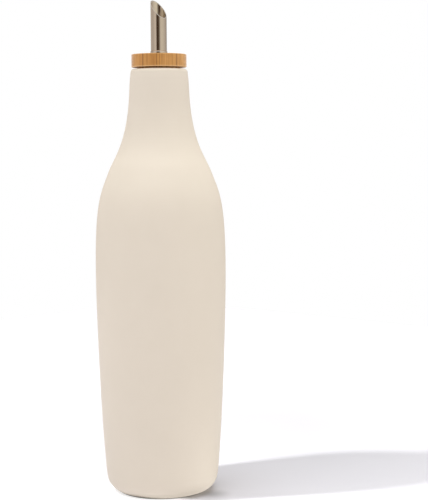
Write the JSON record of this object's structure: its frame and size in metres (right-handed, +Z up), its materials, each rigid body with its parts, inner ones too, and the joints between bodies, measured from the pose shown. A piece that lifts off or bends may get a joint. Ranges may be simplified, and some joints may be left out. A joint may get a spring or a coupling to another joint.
{
  "type": "ceramic oil dispenser",
  "caption": "Tall cream ceramic oil bottle with a sloped shoulder and a narrow neck, under a turned bamboo lid that carries a steel pouring tube with a slanted mouth.",
  "frame": {"origin": "centre of the foot, on the surface that the bottle stands on", "axes": "+Z up the bottle's axis; +X is the way the spout's slanted mouth opens, which is where the oil is poured"},
  "size_m": [0.0822, 0.0822, 0.3104],
  "materials": {
    "ceramic": "smooth cream glaze with a satin sheen",
    "bamboo": "turned laminated bamboo with a thin clear lacquer",
    "steel": "polished stainless steel"
  },
  "bodies": {
    "root": {"bottle": "ceramic", "lid": "bamboo", "spout": "steel"}
  },
  "joints": []
}
